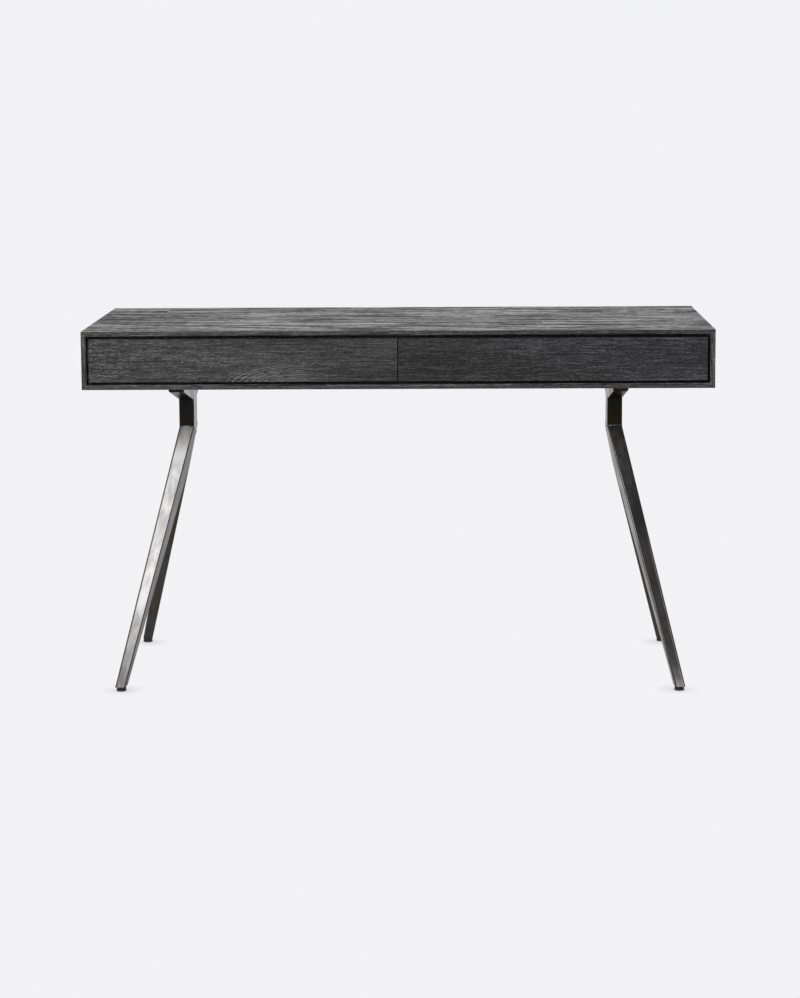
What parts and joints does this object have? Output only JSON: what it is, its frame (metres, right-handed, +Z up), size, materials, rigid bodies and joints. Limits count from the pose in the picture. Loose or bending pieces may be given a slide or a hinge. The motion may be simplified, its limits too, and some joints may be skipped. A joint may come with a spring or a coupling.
{
  "type": "writing desk",
  "caption": "Writing desk: a shallow mitred wooden box with push-to-open drawers, on splayed steel leg frames with levelling glides.",
  "frame": {"origin": "on the floor, under the middle of the desk", "axes": "+X along the desk, -Y towards the person at the drawer side, +Z up"},
  "size_m": [1.3, 0.6, 0.76],
  "materials": {
    "black_wood": "black stain over brushed grain, matt lacquer",
    "drawer_wood": "dark stained, satin",
    "dark_steel": "gunmetal patina, brushed and clear lacquered",
    "zinc_steel": "zinc plated",
    "black_plastic": "moulded, matt"
  },
  "bodies": {
    "desk": {"top_panel": "black_wood", "bottom_panel": "black_wood", "right_side_panel": "black_wood", "left_side_panel": "black_wood", "back_panel": "black_wood", "centre_divider": "black_wood", "frame_screws": "zinc_steel", "rail_screws": "zinc_steel", "knee_welds": "dark_steel", "foot_inserts": "dark_steel", "left_outer_cabinet_rail": "zinc_steel", "left_inner_cabinet_rail": "zinc_steel", "left_latch_body": "black_plastic", "left_mounting_plate": "dark_steel", "left_front_arm": "dark_steel", "left_rear_arm": "dark_steel", "left_column": "dark_steel", "left_front_leg": "dark_steel", "left_rear_leg": "dark_steel", "right_outer_cabinet_rail": "zinc_steel", "right_inner_cabinet_rail": "zinc_steel", "right_latch_body": "black_plastic", "right_mounting_plate": "dark_steel", "right_front_arm": "dark_steel", "right_rear_arm": "dark_steel", "right_column": "dark_steel", "right_front_leg": "dark_steel", "right_rear_leg": "dark_steel"},
    "left_drawer": {"left_drawer_front": "black_wood", "left_drawer_outer_side": "drawer_wood", "left_drawer_inner_side": "drawer_wood", "left_drawer_back": "drawer_wood", "left_drawer_bottom": "drawer_wood", "left_drawer_dowels": "drawer_wood", "left_outer_drawer_rail": "zinc_steel", "left_inner_drawer_rail": "zinc_steel"},
    "left_middle_rails": {"left_outer_middle_rail": "zinc_steel", "left_inner_middle_rail": "zinc_steel"},
    "left_plunger": {"left_latch_plunger": "black_plastic"},
    "left_front_glide": {"left_front_glide_pad": "black_plastic", "left_front_glide_stud": "zinc_steel"},
    "left_rear_glide": {"left_rear_glide_pad": "black_plastic", "left_rear_glide_stud": "zinc_steel"},
    "right_drawer": {"right_drawer_front": "black_wood", "right_drawer_outer_side": "drawer_wood", "right_drawer_inner_side": "drawer_wood", "right_drawer_back": "drawer_wood", "right_drawer_bottom": "drawer_wood", "right_drawer_dowels": "drawer_wood", "right_outer_drawer_rail": "zinc_steel", "right_inner_drawer_rail": "zinc_steel"},
    "right_middle_rails": {"right_outer_middle_rail": "zinc_steel", "right_inner_middle_rail": "zinc_steel"},
    "right_plunger": {"right_latch_plunger": "black_plastic"},
    "right_front_glide": {"right_front_glide_pad": "black_plastic", "right_front_glide_stud": "zinc_steel"},
    "right_rear_glide": {"right_rear_glide_pad": "black_plastic", "right_rear_glide_stud": "zinc_steel"}
  },
  "joints": [
    {"name": "left_drawer_slide", "type": "slide", "parent": "desk", "child": "left_drawer", "axis": [0, -1, 0], "range_m": [0, 0.4]},
    {"name": "left_middle_rails_slide", "type": "slide", "parent": "desk", "child": "left_middle_rails", "axis": [0, -1, 0], "range_m": [0, 0.2]},
    {"name": "left_plunger_press", "type": "slide", "parent": "desk", "child": "left_plunger", "axis": [0, 1, 0], "range_m": [0, 0.003], "stiffness_N_per_m": 400, "springref_m": -0.004},
    {"name": "left_front_glide_height", "type": "slide", "parent": "desk", "child": "left_front_glide", "axis": [0, 0, 1], "range_m": [-0.01, 0.0015]},
    {"name": "left_rear_glide_height", "type": "slide", "parent": "desk", "child": "left_rear_glide", "axis": [0, 0, 1], "range_m": [-0.01, 0.0015]},
    {"name": "right_drawer_slide", "type": "slide", "parent": "desk", "child": "right_drawer", "axis": [0, -1, 0], "range_m": [0, 0.4]},
    {"name": "right_middle_rails_slide", "type": "slide", "parent": "desk", "child": "right_middle_rails", "axis": [0, -1, 0], "range_m": [0, 0.2]},
    {"name": "right_plunger_press", "type": "slide", "parent": "desk", "child": "right_plunger", "axis": [0, 1, 0], "range_m": [0, 0.003], "stiffness_N_per_m": 400, "springref_m": -0.004},
    {"name": "right_front_glide_height", "type": "slide", "parent": "desk", "child": "right_front_glide", "axis": [0, 0, 1], "range_m": [-0.01, 0.0015]},
    {"name": "right_rear_glide_height", "type": "slide", "parent": "desk", "child": "right_rear_glide", "axis": [0, 0, 1], "range_m": [-0.01, 0.0015]}
  ],
  "couplings": [
    {"joint": "left_middle_rails_slide", "follows": "left_drawer_slide", "ratio": 0.5},
    {"joint": "right_middle_rails_slide", "follows": "right_drawer_slide", "ratio": 0.5}
  ]
}
